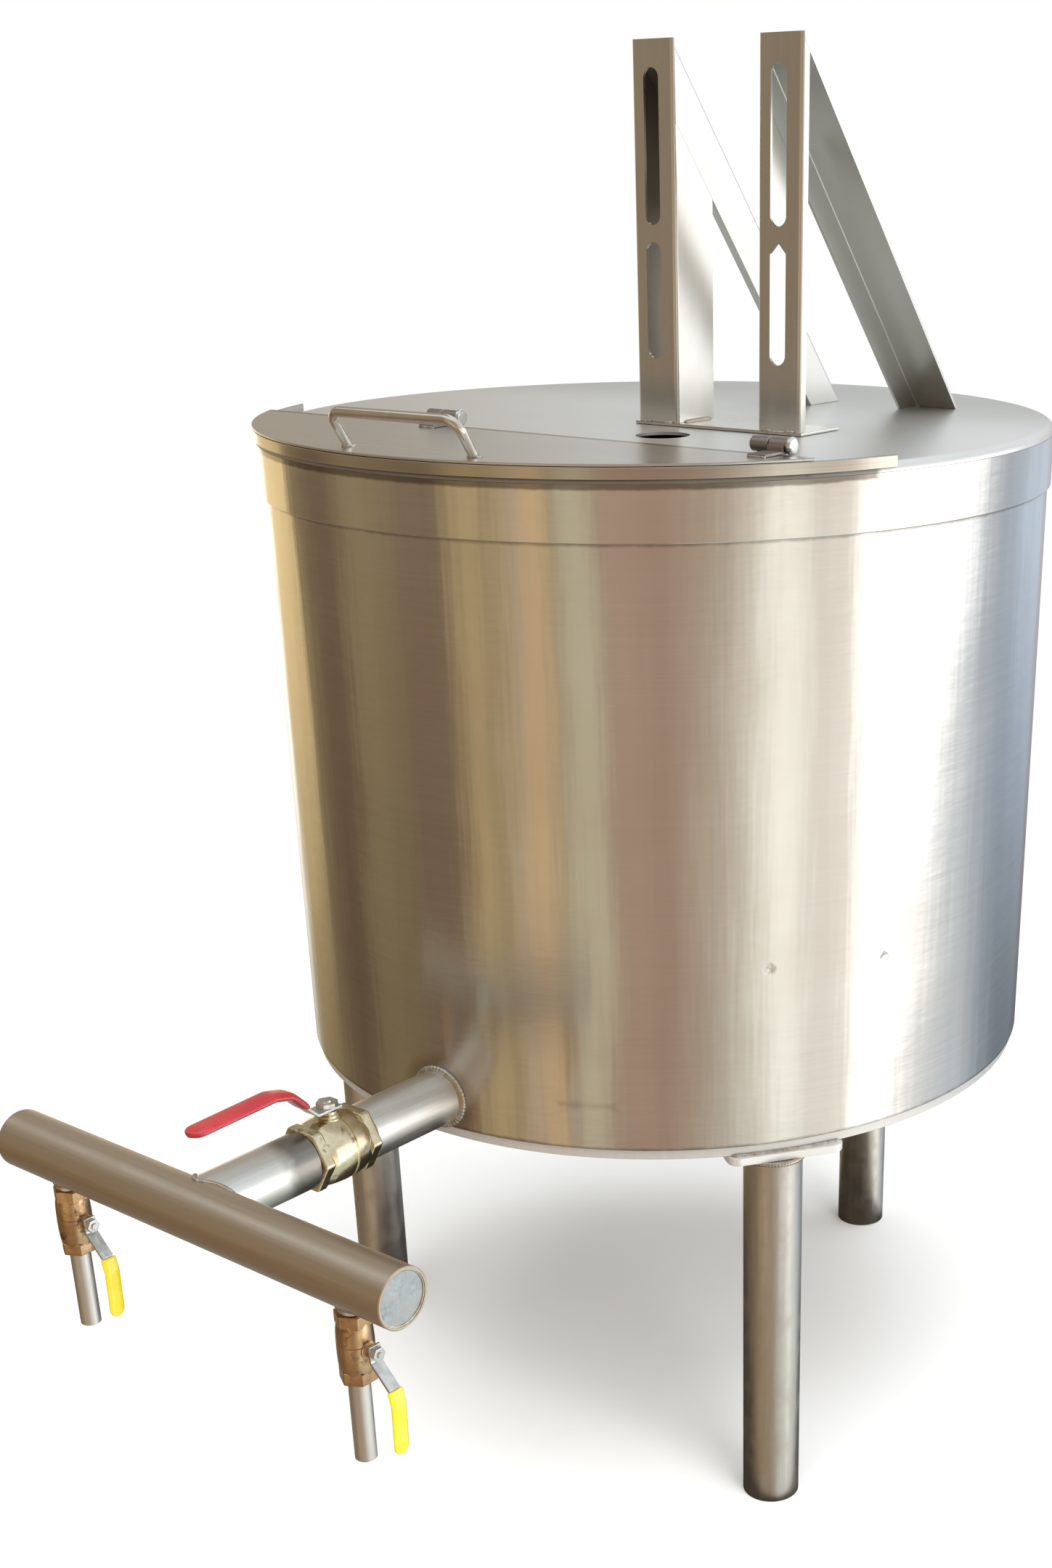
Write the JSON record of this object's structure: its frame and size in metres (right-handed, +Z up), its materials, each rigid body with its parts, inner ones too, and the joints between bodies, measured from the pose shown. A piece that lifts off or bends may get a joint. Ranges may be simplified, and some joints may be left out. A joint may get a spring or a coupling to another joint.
{
  "type": "mixing tank",
  "caption": "Round steel mixing tank on tube legs, with a hinged lid hatch, slotted posts for a stirring motor, and a ball valve feeding a cross pipe with small taps.",
  "frame": {"origin": "on the ground, under the middle of the part's own box", "axes": "+X along the cross pipe towards its right end seen from the taps, -Y towards the taps and the hatch, +Z up"},
  "size_m": [0.852, 1.2106, 1.485],
  "materials": {
    "tank_steel": "satin brushed sheet",
    "band_steel": "satin brushed sheet",
    "floor_steel": "satin brushed sheet",
    "lid_steel": "satin brushed sheet",
    "stiffener_steel": "satin",
    "lip_steel": "satin",
    "hatch_steel": "satin brushed sheet",
    "handle_steel": "polished rod",
    "hinge_steel": "satin",
    "pin_steel": "bright turned",
    "bracket_steel": "satin folded sheet",
    "pad_steel": "satin plate",
    "leg_steel": "polished tube",
    "pipe_steel": "polished tube",
    "cap_steel": "satin",
    "spout_steel": "polished tube",
    "valve_brass": "satin cast and machined",
    "tap_brass": "satin cast and machined",
    "lever_steel": "zinc plated strip",
    "red_vinyl": "dipped vinyl",
    "yellow_vinyl": "dipped vinyl"
  },
  "bodies": {
    "tank": {"shell_wall": "tank_steel", "top_band": "band_steel", "floor_plate": "floor_steel", "lid_plate": "lid_steel", "opening_stiffener": "stiffener_steel", "hatch_lip": "lip_steel", "hinge_lid_knuckle_left": "hinge_steel", "hinge_lid_knuckle_right": "hinge_steel", "hinge_pin_left": "pin_steel", "hinge_pin_right": "pin_steel", "bracket_base_strip": "bracket_steel", "motor_post_left": "bracket_steel", "motor_post_right": "bracket_steel", "motor_brace_left": "bracket_steel", "motor_brace_right": "bracket_steel", "leg_pad_front": "pad_steel", "leg_pad_back": "pad_steel", "leg_pad_left": "pad_steel", "leg_tube_front": "leg_steel", "leg_tube_back": "leg_steel", "leg_tube_left": "leg_steel", "outlet_stub": "pipe_steel", "feed_pipe": "pipe_steel", "cross_pipe": "pipe_steel", "cross_pipe_cap_left": "cap_steel", "cross_pipe_cap_right": "cap_steel", "tap_nipple_left": "pipe_steel", "tap_nipple_right": "pipe_steel", "tap_spout_left": "spout_steel", "tap_spout_right": "spout_steel", "main_valve_body": "valve_brass", "tap_valve_body_left": "tap_brass", "tap_valve_body_right": "tap_brass"},
    "hatch": {"hatch_plate": "hatch_steel", "hatch_handle": "handle_steel", "hinge_hatch_knuckle_left": "hinge_steel", "hinge_hatch_knuckle_right": "hinge_steel"},
    "main_lever": {"main_lever_shank": "lever_steel", "main_lever_grip": "red_vinyl"},
    "tap_left_lever": {"tap_left_lever_shank": "lever_steel", "tap_left_lever_grip": "yellow_vinyl"},
    "tap_right_lever": {"tap_right_lever_shank": "lever_steel", "tap_right_lever_grip": "yellow_vinyl"}
  },
  "joints": [
    {"name": "hatch_hinge", "type": "hinge", "parent": "tank", "child": "hatch", "pos_m": [0, -0.03392, 1.1412], "axis": [-1, 0, 0], "range_deg": [0, 100]},
    {"name": "main_valve_turn", "type": "hinge", "parent": "tank", "child": "main_lever", "pos_m": [0.03, -0.39892, 0.483], "axis": [0, 0, 1], "range_deg": [0, 90]},
    {"name": "left_tap_turn", "type": "hinge", "parent": "tank", "child": "tap_left_lever", "pos_m": [-0.171, -0.57393, 0.412], "axis": [-1, 0, 0], "range_deg": [0, 90]},
    {"name": "right_tap_turn", "type": "hinge", "parent": "tank", "child": "tap_right_lever", "pos_m": [0.242, -0.57393, 0.412], "axis": [-1, 0, 0], "range_deg": [0, 90]}
  ]
}
